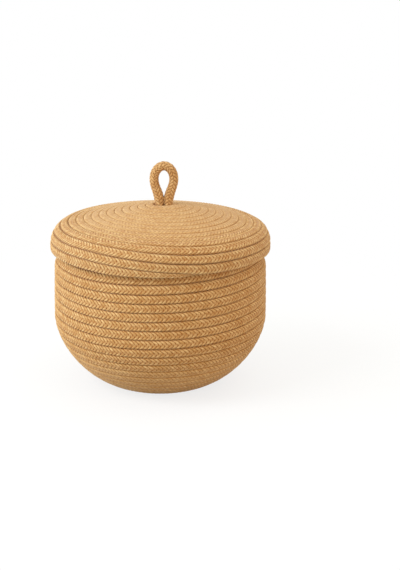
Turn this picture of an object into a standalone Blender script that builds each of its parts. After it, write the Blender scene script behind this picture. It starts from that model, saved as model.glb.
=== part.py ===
"""Knitting basket of sewn rope with a domed rope lid.

The basket is one long rope wound from the middle of its floor outwards and then
up its wall, each turn sewn to the one before. The lid is a second, thinner rope
wound the same way over a shallow dome and down a short rim that reaches past the
mouth of the basket. A loop of rope stands on the lid as its handle: its two legs
go down through an eye near the middle of the lid, and their tails lie under it. The
eye lies a little to the right, and the turns round it drift back to the middle.

Every coil is a tube swept along a spiral that climbs a turned profile. The
profile is read by its length, so the turns keep an even pitch over floor, corner,
wall and dome alike. Lengths are in metres, and radii and heights of the coils are
those of the middle of the rope.
"""

import math

import bpy
import numpy as np
from mathutils import Vector
from mathutils.geometry import interpolate_bezier

# Ropes and thread
ROPE_D = 0.00946
LID_ROPE_D = 0.0077
LOOP_ROPE_D = 0.0102
THREAD_D = 0.0012
SEAM_GAP = 0.00062
LID_SEAM_GAP = 0.00077
TOUCH_GAP = 0.0004
SEAT_GAP = 0.0001

# Basket
FLOOR_R = 0.0433
BELLY_R = 0.1139
BELLY_Z = 0.0779
SHOULDER_DRAW = 0.0011
MOUTH_LEAN = 0.0018
MOUTH_Z = 0.1697
BASKET_END_ANGLE = math.radians(14)
MOUTH_TAIL_LENGTH = 0.110
FLOOR_TIP_LENGTH = 0.032

# Lid
LID_OVERHANG = 0.0036
LID_SHOULDER_R = 0.0204
LID_RISE = 0.0338
LID_PEAK = 0.0034
LID_RIM_DROP = 0.0056
LID_END_ANGLE = math.radians(291)
RIM_CLEARANCE = 0.0009
LID_TAIL_LENGTH = 0.160
LID_TIP_LENGTH = 0.024
EYE_SHIFT = 0.005

# Loop handle
LOOP_WIDTH = 0.0328
LOOP_HEIGHT = 0.0498
TAIL_BEND_R = 0.0078
TAIL_RUN = 0.024

# Shares of the sizes above
CORNER_POWER_SHARE = 1.674
CUT_SHARE = 0.1
SHOULDER_ROWS_SHARE = 1.55
START_SHARE = 0.5
THREAD_DEPTH_SHARE = 0.29
OVAL_POWER_SHARE = 0.35
EYE_SLACK_SHARE = 0.03
TIP_SHARE = 0.35
STEP_SHARE = 0.35
ROOT_RISE_SHARE = 0.4
LEG_HANDLE_SHARE = 0.36
SIDE_HANDLE_SHARE = 0.42
CIRCLE_HANDLE_SHARE = 0.5523
TAIL_CLEAR_SHARE = 0.24
TAIL_FALL_SHARE = 0.07
SLOPE_REACH_SHARE = 0.25
WELD_SHARE = 0.01

# Counts
TURN_POINTS = 18
PROFILE_POINTS = 240
FOOT_RINGS = 3
LEG_POINTS = 9
TOP_POINTS = 7
BEND_POINTS = 6
GAP_POINTS = 4
SIX_SIDES = 1
FOUR_SIDES = 0

# Sizes that follow from those above
FLAT_SHARE = math.cos(math.pi / 6)
FLOOR_Z = ROPE_D / 2 * FLAT_SHARE - ROPE_D * CUT_SHARE
PITCH = ROPE_D + SEAM_GAP
LID_R = BELLY_R + LID_OVERHANG
SHOULDER_R = BELLY_R - SHOULDER_DRAW
NECK_R = LID_R - (ROPE_D + LID_ROPE_D) / 2 - RIM_CLEARANCE
MOUTH_R = NECK_R - MOUTH_LEAN
STACK = (ROPE_D + LID_ROPE_D) / 2 * FLAT_SHARE + SEAT_GAP
LID_ARC_R = LID_R - LID_SHOULDER_R
LID_Z = MOUTH_Z - math.sqrt((LID_SHOULDER_R - STACK) ** 2 - (MOUTH_R - LID_ARC_R) ** 2)
RIM_Z = LID_Z - LID_RIM_DROP
SHOULDER_Z = RIM_Z - ROPE_D * SHOULDER_ROWS_SHARE
FOOT_X = (LOOP_ROPE_D + SEAM_GAP) / 2
EYE_R = (LOOP_ROPE_D + LID_ROPE_D * TIP_SHARE) / 2 + SEAM_GAP + LOOP_ROPE_D * EYE_SLACK_SHARE

# Colours as linear red, green and blue
ROPE_COLOUR = (0.564, 0.332, 0.125)
LID_COLOUR = (0.610, 0.366, 0.147)
LOOP_COLOUR = (0.440, 0.235, 0.085)
THREAD_COLOUR = (0.305, 0.150, 0.052)


class Profile:
    """A line in the half plane of radius and height, read by its length."""

    def __init__(self, radii, heights):
        self.radii = np.asarray(radii)
        self.heights = np.asarray(heights)
        steps = np.hypot(np.diff(self.radii), np.diff(self.heights))
        self.lengths = np.concatenate(([0.0], np.cumsum(steps)))
        self.total = self.lengths[-1]

    def at(self, length):
        """Radius and height at a length along the line."""
        radius = np.interp(length, self.lengths, self.radii)
        height = np.interp(length, self.lengths, self.heights)
        return radius, height

    def slope(self, length):
        """Angle of the line above the horizontal, in radians."""
        reach = ROPE_D * SLOPE_REACH_SHARE
        r_0, z_0 = self.at(np.maximum(length - reach, 0.0))
        r_1, z_1 = self.at(np.minimum(length + reach, self.total))
        return np.arctan2(z_1 - z_0, r_1 - r_0)


def smooth_step(value):
    """Eases from 0 to 1 as the value goes from 0 to 1."""
    held = np.clip(value, 0.0, 1.0)
    return held * held * (3 - 2 * held)


def basket_profile():
    """Flat floor, wide rounded corner, belly, and a wall drawn in under the lid."""
    turn = np.linspace(0.0, math.pi / 2, PROFILE_POINTS)
    power = 2 / CORNER_POWER_SHARE
    corner_r = FLOOR_R + (BELLY_R - FLOOR_R) * np.sin(turn) ** power
    corner_z = FLOOR_Z + (BELLY_Z - FLOOR_Z) * (1 - np.cos(turn) ** power)

    wall_z = np.linspace(BELLY_Z, MOUTH_Z, PROFILE_POINTS)[1:]
    climb = (wall_z - BELLY_Z) / (SHOULDER_Z - BELLY_Z)
    wall_r = BELLY_R - (BELLY_R - SHOULDER_R) * climb**2
    inwards = smooth_step((wall_z - SHOULDER_Z) / (RIM_Z - SHOULDER_Z))
    lean = np.clip((wall_z - RIM_Z) / (MOUTH_Z - RIM_Z), 0.0, 1.0)
    wall_r = wall_r + (NECK_R - wall_r) * inwards - MOUTH_LEAN * lean**2

    radii = np.concatenate(([0.0], corner_r, wall_r))
    heights = np.concatenate(([FLOOR_Z], corner_z, wall_z))
    return Profile(radii, heights)


def lid_profile():
    """A cap of a sphere raised to a soft peak, a round shoulder and a short rim."""
    rise, shoulder = LID_RISE, LID_SHOULDER_R
    cap_r = (LID_ARC_R**2 + rise**2 - shoulder**2) / (2 * (rise - shoulder))
    cap_z = LID_Z + rise - cap_r
    meeting = math.atan2(LID_ARC_R, LID_Z - cap_z)
    edge_r = cap_r * math.sin(meeting)

    cap = np.linspace(0.0, meeting, PROFILE_POINTS)
    crown_r = cap_r * np.sin(cap)
    crown_z = cap_z + cap_r * np.cos(cap) + LID_PEAK * (1 - crown_r / edge_r) ** 2
    bend = np.linspace(meeting, math.pi / 2, PROFILE_POINTS)[1:]
    bend_r = LID_ARC_R + shoulder * np.sin(bend)
    bend_z = LID_Z + shoulder * np.cos(bend)

    radii = np.concatenate((crown_r, bend_r, [LID_R]))
    heights = np.concatenate((crown_z, bend_z, [RIM_Z]))
    return Profile(radii, heights)


class Coil:
    """A rope wound along a profile, anticlockwise from above and outwards.

    The rope starts at one length of the profile and ends at its end, at a given
    angle. Both its ends are cut to a slim tip, and the last of them is drawn up
    against the turn before it, which keeps the edge of the coil level. Where it
    goes round two legs side by side, its turns start as ovals and fade to circles,
    and where the coil starts to one side, they drift back to the middle.
    """

    def __init__(self, profile, diameter, start, pitch, end_angle, tips, half_oval=0.0, shift=0.0):
        self.profile = profile
        self.diameter = diameter
        self.start = start
        self.pitch = pitch
        self.first_tip, self.last_tip = tips
        self.half_oval = half_oval
        self.shift = shift
        self.turns = (profile.total - start) / pitch
        self.end_angle = end_angle + 2 * math.pi * math.ceil(self.turns)
        self.start_angle = self.end_angle - 2 * math.pi * self.turns

    def width_share(self, angle):
        """Width of the rope at an angle, as a share of its full width."""
        begun = self.run_length(angle) / self.first_tip
        end_r = self.profile.at(self.profile.total)[0]
        left = (self.end_angle - angle) * end_r / self.last_tip
        first = TIP_SHARE + (1 - TIP_SHARE) * smooth_step(begun)
        last = TIP_SHARE + (1 - TIP_SHARE) * smooth_step(left)
        return np.minimum(first, last)

    def run_length(self, angle):
        """Length of rope from the start of the spiral to an angle in it."""
        turned = angle - self.start_angle
        growth = self.pitch / (2 * math.pi)
        return turned * (self.start + self.half_oval + growth * turned / 2)

    def length_at(self, angle):
        """Length along the profile of the rope's middle at an angle."""
        turn = (angle - self.start_angle) / (2 * math.pi)
        near_end = angle > self.end_angle - math.pi
        drawn = np.where(near_end, 1 - self.width_share(angle), 0.0)
        return self.start + self.pitch * turn - self.diameter / 2 * drawn

    def place(self, angle, length, inset=0.0):
        """Points on the coil's surface, set in from it by an amount."""
        radius, height = self.profile.at(length)
        slope = self.profile.slope(length)
        radius = radius - inset * np.sin(slope)
        height = height + inset * np.cos(slope)
        fade = 1 - (length - self.start) / (self.profile.total - self.start)
        across = np.cos(angle)
        oval = self.half_oval * fade * np.sign(across) * np.abs(across) ** OVAL_POWER_SHARE
        sideways = radius * across + oval + self.shift * fade
        return np.stack((sideways, radius * np.sin(angle), height), axis=-1)

    def angles(self, first, last):
        """Even steps round the coil, at the same angles in every turn, and both ends."""
        step = 2 * math.pi / TURN_POINTS
        even = np.arange(math.ceil(first / step), math.floor(last / step) + 1) * step
        apart = (even > first + step * STEP_SHARE) & (even < last - step * STEP_SHARE)
        return np.concatenate(([first], even[apart], [last]))

    def rope_line(self):
        """Points, slopes and angles of the rope's middle line."""
        angle = self.angles(self.start_angle, self.end_angle)
        length = self.length_at(angle)
        return self.place(angle, length), self.profile.slope(length), angle

    def thread_line(self, inset):
        """A line half way between each turn and the next, to one side of the coil."""
        angle = self.angles(self.start_angle, self.end_angle - 2 * math.pi)
        after = angle + 2 * math.pi
        inner_side = self.length_at(angle) + self.diameter / 2 * self.width_share(angle)
        outer_side = self.length_at(after) - self.diameter / 2 * self.width_share(after)
        length = (inner_side + outer_side) / 2
        return self.place(angle, length, inset), self.profile.slope(length)


def material(name, colour, roughness):
    """A plain material of one colour."""
    made = bpy.data.materials.new(name)
    made.use_nodes = True
    shader = made.node_tree.nodes["Principled BSDF"]
    shader.inputs["Base Color"].default_value = (*colour, 1.0)
    shader.inputs["Roughness"].default_value = roughness
    shader.inputs["Metallic"].default_value = 0.0
    return made


def tube(name, points, diameter, sides, paint, tilts=None, widths=None, twist="Z_UP"):
    """A rope or thread: a round bevel swept along straight steps, with closed ends."""
    curve = bpy.data.curves.new(name, "CURVE")
    curve.dimensions = "3D"
    curve.twist_mode = twist
    curve.bevel_depth = diameter / 2
    curve.bevel_resolution = sides
    curve.use_fill_caps = True
    spline = curve.splines.new("POLY")
    spline.points.add(len(points) - 1)
    for index, point in enumerate(points):
        spline.points[index].co = (*(float(value) for value in point), 1.0)
        if tilts is not None:
            spline.points[index].tilt = float(tilts[index])
        if widths is not None:
            spline.points[index].radius = float(widths[index])
    curve.materials.append(paint)
    shape = bpy.data.objects.new(name, curve)
    bpy.context.collection.objects.link(shape)
    return shape


def empty(name, place, parent=None):
    """A frame that carries the pieces of one moving body."""
    frame = bpy.data.objects.new(name, None)
    frame.location = place
    frame.parent = parent
    bpy.context.collection.objects.link(frame)
    return frame


def least_gap(coil):
    """Least distance between the sides of turns that face each other.

    Both sides of the rope are lines of points, a few on every straight step. Each
    point of the outer side is measured against the inner side of all the rope that
    lies more than half a turn further on.
    """
    line, slopes, angles = coil.rope_line()
    ahead = np.gradient(line, axis=0)
    level = np.stack((ahead[:, 1], -ahead[:, 0], np.zeros(len(line))), axis=1)
    level /= np.linalg.norm(level, axis=1, keepdims=True)
    upward = np.array((0.0, 0.0, 1.0))
    side = np.cos(slopes)[:, None] * level + np.sin(slopes)[:, None] * upward
    side *= (coil.diameter / 2 * coil.width_share(angles))[:, None]
    steps = np.arange((len(line) - 1) * GAP_POINTS + 1) / GAP_POINTS
    index = np.arange(len(line))

    def finer(values):
        columns = [np.interp(steps, index, column) for column in values.T]
        return np.stack(columns, axis=1)

    outer = finer(line + side)
    inner = finer(line - side)
    angle = np.interp(steps, index, angles)
    least = math.inf
    for place, turned in zip(outer, angle):
        far = inner[angle > turned + math.pi]
        if len(far):
            least = min(least, float(np.linalg.norm(far - place, axis=1).min()))
    return least


def box_cutter(name, low, high):
    """A box that cuts other shapes and is not part of the model."""
    corners = [
        (x, y, z) for x in (low[0], high[0]) for y in (low[1], high[1]) for z in (low[2], high[2])
    ]
    faces = [(0, 1, 3, 2), (4, 6, 7, 5), (0, 4, 5, 1), (2, 3, 7, 6), (0, 2, 6, 4), (1, 5, 7, 3)]
    mesh = bpy.data.meshes.new(name)
    mesh.from_pydata(corners, [], faces)
    cutter = bpy.data.objects.new(name, mesh)
    cutter.hide_render = True
    cutter.display_type = "WIRE"
    bpy.context.collection.objects.link(cutter)
    return cutter


def meshed(shape):
    """The tube as a mesh object of the same name, with its caps joined to it."""
    name, parent = shape.name, shape.parent
    bpy.context.view_layer.update()
    graph = bpy.context.evaluated_depsgraph_get()
    mesh = bpy.data.meshes.new_from_object(shape.evaluated_get(graph))
    bpy.data.objects.remove(shape)
    solid = bpy.data.objects.new(name, mesh)
    solid.parent = parent
    bpy.context.collection.objects.link(solid)
    weld = solid.modifiers.new("join_caps", "WELD")
    weld.merge_threshold = TOUCH_GAP * WELD_SHARE
    return solid


def report_coil(name, coil):
    """Prints how often a coil turns and how close it comes to itself."""
    print(name, "turns", round(coil.turns, 2))
    print(name, "least gap in mm", round(least_gap(coil) * 1000, 3))


def make_coil(name, coil, paint, shift):
    """The rope of a coil, six sided, with corners towards the turns next to it."""
    line, slopes, angles = coil.rope_line()
    widths = coil.width_share(angles)
    return tube(name, line - shift, coil.diameter, SIX_SIDES, paint, -slopes, widths)


def make_thread(name, coil, side, paint, shift):
    """The sewing thread that runs between the turns on one side of a coil."""
    inset = side * coil.diameter * THREAD_DEPTH_SHARE
    line, slopes = coil.thread_line(inset)
    return tube(name, line - shift, THREAD_D, FOUR_SIDES, paint, -slopes)


def make_basket(rope_paint, thread_paint):
    """The wound basket, cut flat where it stands, and the thread between its turns."""
    tips = (FLOOR_TIP_LENGTH, MOUTH_TAIL_LENGTH)
    coil = Coil(basket_profile(), ROPE_D, PITCH * START_SHARE, PITCH, BASKET_END_ANGLE, tips)
    origin = np.zeros(3)
    solid = meshed(make_coil("basket_coil", coil, rope_paint, origin))
    reach = BELLY_R + ROPE_D
    cutter = box_cutter("floor_plane", (-reach, -reach, -ROPE_D), (reach, reach, 0.0))
    cut = solid.modifiers.new("cut_flat", "BOOLEAN")
    cut.operation = "DIFFERENCE"
    cut.solver = "EXACT"
    cut.object = cutter
    make_thread("basket_seam_thread", coil, 1, thread_paint, origin)
    report_coil("basket coil", coil)


def make_lid(frame, rope_paint, thread_paint):
    """The wound lid and its thread. Returns the height of the coil round the eye."""
    profile = lid_profile()
    pitch = (LID_ROPE_D + LID_SEAM_GAP) / (1 - FOOT_X / (profile.total - EYE_R))
    tips = (LID_TIP_LENGTH, LID_TAIL_LENGTH)
    coil = Coil(profile, LID_ROPE_D, EYE_R, pitch, LID_END_ANGLE, tips, FOOT_X, EYE_SHIFT)
    shift = np.array(frame.location)
    make_coil("lid_coil", coil, rope_paint, shift).parent = frame
    make_thread("lid_seam_thread", coil, -1, thread_paint, shift).parent = frame
    report_coil("lid coil", coil)
    return float(profile.at(EYE_R + LID_ROPE_D / 2)[1])


def loop_axis_height(eye_z):
    """Height of the axis that the loop bends about, just over the coil round the eye."""
    return eye_z + LOOP_ROPE_D * ROOT_RISE_SHARE


def make_loop(frame, paint):
    """The standing loop, a teardrop of rope with round feet on the bending axis."""
    radius = LOOP_ROPE_D / 2
    side_x = LOOP_WIDTH / 2 - radius
    top_z = LOOP_HEIGHT - radius
    side_z = top_z - side_x
    bow = side_x * CIRCLE_HANDLE_SHARE
    leg = interpolate_bezier(
        Vector((FOOT_X, 0.0, 0.0)),
        Vector((FOOT_X, 0.0, side_z * LEG_HANDLE_SHARE)),
        Vector((side_x, 0.0, side_z * (1 - SIDE_HANDLE_SHARE))),
        Vector((side_x, 0.0, side_z)),
        LEG_POINTS,
    )
    crown = interpolate_bezier(
        Vector((side_x, 0.0, side_z)),
        Vector((side_x, 0.0, side_z + bow)),
        Vector((bow, 0.0, top_z)),
        Vector((0.0, 0.0, top_z)),
        TOP_POINTS,
    )
    foot_turns = [math.pi / 2 * (count + 0.5) / FOOT_RINGS for count in range(FOOT_RINGS)]
    foot = [Vector((FOOT_X, 0.0, -radius * math.sin(turn))) for turn in reversed(foot_turns)]
    foot_widths = [math.cos(turn) for turn in reversed(foot_turns)]
    right = foot + leg + crown[1:]
    left = [Vector((-point.x, point.y, point.z)) for point in reversed(right[:-1])]
    widths = foot_widths + [1.0] * (len(right) + len(left) - 2 * FOOT_RINGS)
    widths += list(reversed(foot_widths))
    loop = tube(
        "lid_loop", right + left, LOOP_ROPE_D, SIX_SIDES, paint, widths=widths, twist="MINIMUM"
    )
    loop.parent = frame


def make_tail(frame, name, hand, eye_z, paint):
    """A leg's end: down through the eye, round a bend and out along the lid's underside."""
    radius = LOOP_ROPE_D / 2
    root_z = loop_axis_height(eye_z)
    top = root_z - radius - TOUCH_GAP
    bend_z = eye_z - LOOP_ROPE_D * TAIL_CLEAR_SHARE
    points = [(FOOT_X, top)]
    for turn in np.linspace(0.0, math.pi / 2, BEND_POINTS):
        across = TAIL_BEND_R * (1 - math.cos(turn))
        points.append((FOOT_X + across, bend_z - TAIL_BEND_R * math.sin(turn)))
    run_x, run_z = points[-1]
    points.append((run_x + TAIL_RUN, run_z - TAIL_RUN * TAIL_FALL_SHARE))
    line = [(EYE_SHIFT + hand * x, 0.0, z) for x, z in points]
    shift = np.array(frame.location)
    tail = tube(name, np.array(line) - shift, LOOP_ROPE_D, SIX_SIDES, paint, twist="MINIMUM")
    tail.parent = frame


def main():
    for old in list(bpy.data.objects):
        bpy.data.objects.remove(old)
    rope_paint = material("basket_rope", ROPE_COLOUR, 0.85)
    lid_paint = material("lid_rope", LID_COLOUR, 0.85)
    loop_paint = material("loop_rope", LOOP_COLOUR, 0.8)
    thread_paint = material("sewing_thread", THREAD_COLOUR, 0.7)

    make_basket(rope_paint, thread_paint)
    lid_frame = empty("lid_frame", (0.0, 0.0, LID_Z))
    eye_z = make_lid(lid_frame, lid_paint, thread_paint)
    make_tail(lid_frame, "loop_tail_right", 1, eye_z, loop_paint)
    make_tail(lid_frame, "loop_tail_left", -1, eye_z, loop_paint)
    root = (EYE_SHIFT, 0.0, loop_axis_height(eye_z) - LID_Z)
    loop_frame = empty("loop_frame", root, lid_frame)
    make_loop(loop_frame, loop_paint)
    print("lid frame height in mm", round(LID_Z * 1000, 3))
    print("loop axis height in mm", round((root[2] + LID_Z) * 1000, 3))


main()
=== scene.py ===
"""Looks of a knitting basket of sewn rope with a domed rope lid and a rope loop handle.

The basket and the lid are each one long braided rope, wound along a turned profile and
sewn turn to turn. Every rope here is a surface of two parameters: how far along the rope a
point lies, and how far round the rope's section. The strands of the braid are heights on
that surface, so that they show in the mesh itself. Lengths are in metres, in the CAD
model's frame.
"""

import logging
import math
from dataclasses import dataclass
from enum import Enum

import bpy
import numpy as np
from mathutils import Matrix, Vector
from mathutils.geometry import interpolate_bezier

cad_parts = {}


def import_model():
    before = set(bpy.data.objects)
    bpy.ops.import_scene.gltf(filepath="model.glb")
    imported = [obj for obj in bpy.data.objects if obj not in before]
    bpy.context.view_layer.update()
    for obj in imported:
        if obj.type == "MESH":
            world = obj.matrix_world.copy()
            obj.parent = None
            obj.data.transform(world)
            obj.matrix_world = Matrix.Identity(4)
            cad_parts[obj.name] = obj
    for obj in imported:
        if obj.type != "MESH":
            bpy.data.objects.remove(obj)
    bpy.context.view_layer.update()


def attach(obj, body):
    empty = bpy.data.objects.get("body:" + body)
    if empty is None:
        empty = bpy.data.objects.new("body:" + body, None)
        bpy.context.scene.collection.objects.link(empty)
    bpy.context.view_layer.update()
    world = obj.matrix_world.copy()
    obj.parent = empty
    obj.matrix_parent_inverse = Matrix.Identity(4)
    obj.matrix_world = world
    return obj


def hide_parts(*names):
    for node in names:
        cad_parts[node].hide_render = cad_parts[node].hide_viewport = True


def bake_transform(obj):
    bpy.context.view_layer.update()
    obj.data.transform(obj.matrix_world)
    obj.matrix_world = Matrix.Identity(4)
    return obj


LOG = logging.getLogger("knitting_basket")
TURN = 2 * math.pi
MM = 0.001
PROFILE_POINTS = 400
# Half height of the solids' six-sided ropes, and how much of a rope the floor cuts off
FLAT_SHARE = math.cos(math.pi / 6)
CUT_SHARE = 0.1


class Side(Enum):
    """Which side of a coil's wall a thread shows on."""

    ABOVE = 1
    BELOW = -1


def linear(code: str) -> tuple[float, float, float, float]:
    """Turn an sRGB hex colour into linear light: ((c + 0.055) / 1.055) to the power 2.4.

    Args:
        code: Six hex digits, such as "c89b62".

    Returns:
        Red, green, blue and an alpha of one.
    """
    parts = [int(code[place : place + 2], 16) / 255 for place in (0, 2, 4)]
    light = [c / 12.92 if c <= 0.04045 else ((c + 0.055) / 1.055) ** 2.4 for c in parts]
    return (light[0], light[1], light[2], 1.0)


def ramp(value: np.ndarray | float, low: float, high: float) -> np.ndarray:
    """Ease from 0 at a low value to 1 at a high one: three squares less two cubes.

    Args:
        value: Numbers to place between the two.
        low: Where the result is 0, and below.
        high: Where the result is 1, and above.

    Returns:
        Numbers from 0 to 1.
    """
    held = np.clip((value - low) / (high - low), 0.0, 1.0)
    return held * held * (3 - 2 * held)


def spread(values: np.ndarray, seed: int) -> np.ndarray:
    """Give whole numbers a repeatable scatter from 0 to 1: the fraction of a large sine.

    Args:
        values: Whole numbers, such as the count of a strand.
        seed: Picks one scatter out of many.

    Returns:
        One number from 0 to 1 for each value.
    """
    step, shift, gain = 12.9898, 78.233, 43758.5453
    waves = np.sin(values * step + seed * shift) * gain
    return waves - np.floor(waves)


def unit(vectors: np.ndarray) -> np.ndarray:
    """Bring rows of vectors to length one: each divided by its own length."""
    return vectors / np.linalg.norm(vectors, axis=-1, keepdims=True)


def run_along(points: np.ndarray) -> np.ndarray:
    """Distance along a line up to each of its points: the sum of the steps before it."""
    steps = np.linalg.norm(np.diff(points, axis=0), axis=1)
    return np.concatenate(([0.0], np.cumsum(steps)))


class Profile:
    """A line in the half plane of radius and height, read by its length."""

    def __init__(self, radii: np.ndarray, heights: np.ndarray) -> None:
        """Measure the line's length up to each of its points.

        Args:
            radii: Distances from the turning axis.
            heights: Heights of the same points.
        """
        self.radii = radii
        self.heights = heights
        self.lengths = run_along(np.stack((radii, heights), axis=1))
        self.total = float(self.lengths[-1])

    def at(self, length: np.ndarray) -> tuple[np.ndarray, np.ndarray]:
        """Read radius and height at a length, straight on past the line's end.

        Args:
            length: Lengths along the line.

        Returns:
            Radii and heights.
        """
        over = np.maximum(length - self.total, 0.0)
        end = math.atan2(
            self.heights[-1] - self.heights[-2], self.radii[-1] - self.radii[-2]
        )
        radius = np.interp(length, self.lengths, self.radii) + over * math.cos(end)
        height = np.interp(length, self.lengths, self.heights) + over * math.sin(end)
        return radius, height

    def slope(self, length: np.ndarray, reach: float) -> np.ndarray:
        """Angle of the line above the horizontal, taken over a short reach each way.

        Args:
            length: Lengths along the line.
            reach: Distance each way, in metres.

        Returns:
            Angles in radians.
        """
        r_0, z_0 = self.at(np.maximum(length - reach, 0.0))
        r_1, z_1 = self.at(length + reach)
        return np.arctan2(z_1 - z_0, r_1 - r_0)


@dataclass(frozen=True)
class Braid:
    """How a rope is braided: columns of slanting strands that meet in arrow shapes.

    The strands of one column lean one way and those of the next lean the other way, so
    each line between two columns is a row of arrow heads. Each strand shows as a long
    crowned grain whose ends dip under the strands beside it. Lengths along the rope are
    counted in strands, and lengths round it in columns. The strands bunch and spread a
    little, in a slow and a quick wave along the rope.
    """

    columns: int = 6
    pitch: float = 4.25 * MM
    lean: float = 1.0
    relief: float = 0.85 * MM
    grain_length: float = 0.6
    grain_width: float = 0.48
    mean_height: float = 0.75
    unevenness: float = 0.3
    slow_wave: float = 29 * MM
    quick_wave: float = 7.7 * MM
    seed: int = 1

    def count(self, run: np.ndarray) -> np.ndarray:
        """Strands passed along the rope: run over pitch, plus the two waves as sines.

        Args:
            run: Distances along the rope.

        Returns:
            How many strands lie before each one.
        """
        slow = np.sin(run / self.slow_wave + self.seed)
        quick = np.sin(run / self.quick_wave + 2 * self.seed)
        return run / self.pitch + self.unevenness * (slow + quick / 3)

    def height(self, count: np.ndarray, around: np.ndarray) -> tuple[np.ndarray, np.ndarray]:
        """Height of the strands over the rope's core, and which strand shows.

        The height is the largest over three neighbouring columns of the square root of
        one less the square of the distance beside the nearest grain and the cube of the
        distance along it.

        Args:
            count: Place along the rope, in strands.
            around: Place round the section, in columns.

        Returns:
            Heights from 0 to 1, and a scatter number from 0 to 1 for each strand.
        """
        strand_key, column_key = 7, 131
        base = np.floor(around)
        best = np.zeros(np.broadcast(count, around).shape)
        shade = np.full(best.shape, 0.5)
        for step in (-1, 0, 1):
            column = base + step
            odd = np.mod(column, 2)
            across = around - (column + 0.5)
            along = count - odd / 2 - (2 * odd - 1) * self.lean * across
            strand = np.round(along)
            beside = (along - strand) / self.grain_width
            ends = np.abs(across / self.grain_length)
            here = np.sqrt(np.clip(1 - beside**2 - ends**3, 0.0, 1.0))
            ring = np.mod(column, self.columns)
            own = spread(strand * strand_key + ring * column_key, self.seed)
            shade = np.where(here > best, own, shade)
            best = np.maximum(best, here)
        return best, shade

    def sums(self) -> list[tuple]:
        """The same height as rows of sums for a material, for two columns.

        Each row is a name, a sum and its terms, which are numbers or names of earlier
        rows. The rows start from "count" and "around". The second column is the nearest
        neighbour of the first. "near" is the distance beside the nearest grain.

        Returns:
            The rows; the last one is named "height".
        """
        rows = [
            ("column", "FLOOR", "around"),
            ("part", "FRACT", "around"),
            ("across", "SUBTRACT", "part", 0.5),
            ("odd", "FLOORED_MODULO", "column", 2.0),
            ("side", "SIGN", "across"),
            ("next_across", "SUBTRACT", "across", "side"),
            ("next_odd", "SUBTRACT", 1.0, "odd"),
        ]
        for key in ("", "next_"):
            rows += [
                (key + "hand", "MULTIPLY_ADD", key + "odd", 2 * self.lean, -self.lean),
                (key + "slid", "MULTIPLY", key + "hand", key + "across"),
                (key + "level", "SUBTRACT", "count", key + "slid"),
                (key + "along", "MULTIPLY_ADD", key + "odd", -0.5, key + "level"),
                (key + "near", "WRAP", key + "along", 0.5, -0.5),
                (key + "beside", "MULTIPLY", key + "near", 1 / self.grain_width),
                (key + "square", "MULTIPLY", key + "beside", key + "beside"),
                (key + "far", "ABSOLUTE", key + "across"),
                (key + "end", "MULTIPLY", key + "far", 1 / self.grain_length),
                (key + "cube", "POWER", key + "end", 3.0),
                (key + "less", "SUBTRACT", 1.0, key + "square"),
                (key + "left", "SUBTRACT", key + "less", key + "cube"),
                (key + "held", "MAXIMUM", key + "left", 0.0),
                (key + "crown", "SQRT", key + "held"),
            ]
        return rows + [("height", "MAXIMUM", "crown", "next_crown")]


@dataclass(frozen=True)
class Section:
    """A rope's squashed round section: a superellipse of two half sizes and a power."""

    across: float
    through: float
    power: float
    face_points: int = 14
    back_points: int = 8
    side_points: int = 2
    face_arc: float = math.radians(124)

    def turns(self) -> np.ndarray:
        """Angles of the section's points: close on the face, fewer where ropes meet.

        Returns:
            Angles in rising order, 0 on the outer face.
        """
        arc, gap = self.face_arc, math.pi - self.face_arc
        face = (np.arange(self.face_points) + 0.5) / self.face_points * arc - arc / 2
        back = (np.arange(self.back_points) + 0.5) / self.back_points * arc - arc / 2
        beside = (np.arange(self.side_points) + 0.5) / self.side_points * gap + arc / 2
        return np.sort(np.concatenate((face, beside, back + math.pi, beside + math.pi)))

    def ring(self, turn: np.ndarray) -> tuple[np.ndarray, np.ndarray]:
        """Points of the section: cosine and sine, each to the power of two over power.

        Args:
            turn: Angles round the section, 0 on the outer face.

        Returns:
            Shares of the half size across the wall and of the half size along it.
        """
        root = 2 / self.power
        out = np.sign(np.cos(turn)) * np.abs(np.cos(turn)) ** root
        side = np.sign(np.sin(turn)) * np.abs(np.sin(turn)) ** root
        return out, side


@dataclass(frozen=True)
class RopePath:
    """Steps along a rope, as one array for each of these.

    They are the rope's middle, the directions out of the wall and along it, the distance
    along the rope, its shares of the full half sizes across and through, how smooth it is
    pressed, and how open its outer side lies. The last two set how far the painted seam
    shade reaches.
    """

    centre: np.ndarray
    out: np.ndarray
    side: np.ndarray
    run: np.ndarray
    across: np.ndarray
    through: np.ndarray
    pressed: np.ndarray
    opened: np.ndarray

    def part(self, low: int, high: int) -> "RopePath":
        """Take the steps from one number to another, both included."""
        return RopePath(*(values[low : high + 1] for values in vars(self).values()))


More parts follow.
